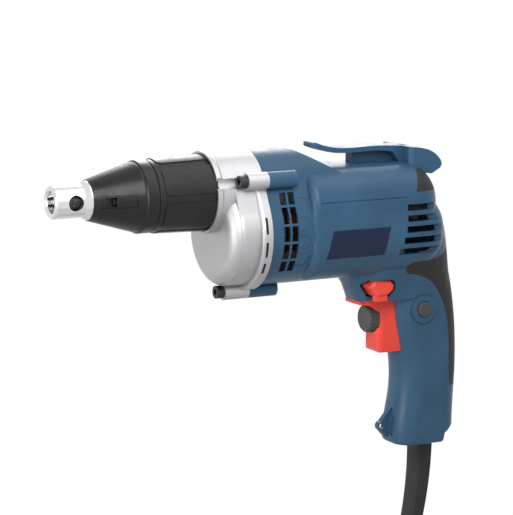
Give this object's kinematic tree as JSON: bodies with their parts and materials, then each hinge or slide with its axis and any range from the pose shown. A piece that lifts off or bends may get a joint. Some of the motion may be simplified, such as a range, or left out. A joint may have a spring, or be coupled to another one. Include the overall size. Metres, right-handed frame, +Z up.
{
  "type": "electric screwdriver",
  "caption": "Mains pistol-grip screwdriver with an adjustable depth stop, belt clip, trigger with speed dial, reversing lever, lock button and a put-away cord.",
  "frame": {"origin": "middle of the hand grip, on the plane between the two clamshells", "axes": "+X from the nose to the stern along the spindle, +Y to the tool's right when held, +Z up"},
  "size_m": [0.2946, 0.077, 0.4536],
  "materials": {
    "nose_chrome": "satin chrome plate",
    "black_plastic": "satin moulded",
    "cast_case": "blasted die casting",
    "dark_rubber": "matt",
    "black_steel": "black oxide",
    "steel": "ground",
    "core_steel": "stacked sheet",
    "bronze": "sintered",
    "copper": "lacquered wire",
    "blue_plastic": "fine spark texture",
    "red_plastic": "satin moulded",
    "grey_plastic": "satin moulded"
  },
  "bodies": {
    "body": {"gear_housing": "cast_case", "gear_housing_screws": "black_steel", "stop_ring": "dark_rubber", "spindle_seal": "dark_rubber", "spindle_bush": "bronze", "bearing_plate": "cast_case", "motor_front_bearing": "steel", "motor_rear_bearing": "steel", "stator_core": "core_steel", "field_coils": "copper", "brush_holders": "bronze", "carbon_brushes": "black_plastic", "brush_springs": "steel", "soft_grip": "dark_rubber", "housing_left": "blue_plastic", "housing_right": "blue_plastic", "housing_screws": "black_steel", "belt_clip": "blue_plastic", "belt_clip_screw": "black_steel", "switch_body": "black_plastic", "cord_clamp": "black_plastic", "cord_clamp_screws": "steel", "cord_boot": "dark_rubber", "cord_lead": "dark_rubber", "cord_coil": "dark_rubber", "cord_tie": "black_plastic", "cord_tail": "dark_rubber", "plug_body": "dark_rubber", "plug_pins": "steel"},
    "depth_sleeve": {"adjusting_sleeve": "black_plastic"},
    "depth_stop": {"nose_cone": "black_plastic", "nosepiece": "nose_chrome"},
    "spindle_carrier": {"spindle_bearing": "steel"},
    "spindle_unit": {"spindle": "steel", "bit_holder": "steel", "spindle_circlip": "black_steel"},
    "gear_unit": {"spindle_gear": "steel", "clutch_spring": "steel"},
    "armature": {"armature_shaft": "steel", "armature_core": "core_steel", "armature_windings": "copper", "commutator": "copper", "fan": "black_plastic"},
    "trigger_unit": {"trigger": "red_plastic"},
    "dial_unit": {"speed_dial": "grey_plastic"},
    "lever_unit": {"reversing_lever": "red_plastic"},
    "lock_unit": {"lock_button": "grey_plastic"}
  },
  "joints": [
    {"name": "depth_stop_slide", "type": "slide", "parent": "body", "child": "depth_stop", "axis": [-1, 0, 0], "range_m": [0, 0.006]},
    {"name": "sleeve_turn", "type": "hinge", "parent": "body", "child": "depth_sleeve", "pos_m": [-0.185, 0, 0.125], "axis": [1, 0, 0], "range_deg": [0, 360]},
    {"name": "spindle_push", "type": "slide", "parent": "body", "child": "spindle_carrier", "axis": [1, 0, 0], "range_m": [0, 0.0035], "stiffness_N_per_m": 3000, "springref_m": -0.004, "deforming": ["clutch_spring"]},
    {"name": "spindle_spin", "type": "hinge", "parent": "spindle_carrier", "child": "spindle_unit", "pos_m": [-0.181, 0, 0.125], "axis": [1, 0, 0], "continuous": true},
    {"name": "armature_spin", "type": "hinge", "parent": "body", "child": "armature", "pos_m": [-0.09, 0, 0.098], "axis": [1, 0, 0], "continuous": true},
    {"name": "gear_spin", "type": "hinge", "parent": "body", "child": "gear_unit", "pos_m": [-0.152, 0, 0.125], "axis": [1, 0, 0], "continuous": true},
    {"name": "trigger_pull", "type": "slide", "parent": "body", "child": "trigger_unit", "axis": [1, 0, 0], "range_m": [0, 0.006], "stiffness_N_per_m": 900, "springref_m": -0.004},
    {"name": "dial_turn", "type": "hinge", "parent": "trigger_unit", "child": "dial_unit", "pos_m": [-0.041, 0, 0.0318], "axis": [1, 0, 0], "range_deg": [-150, 150]},
    {"name": "lever_swing", "type": "hinge", "parent": "body", "child": "lever_unit", "pos_m": [-0.013, 0, 0.0535], "axis": [0, 0, 1], "range_deg": [-8, 0]},
    {"name": "lock_press", "type": "slide", "parent": "body", "child": "lock_unit", "axis": [0, 1, 0], "range_m": [0, 0.003], "stiffness_N_per_m": 500, "springref_m": -0.003}
  ],
  "couplings": [
    {"joint": "gear_spin", "follows": "armature_spin", "ratio": -0.2},
    {"joint": "sleeve_turn", "follows": "depth_stop_slide", "rad_per_m": 1047.2}
  ]
}
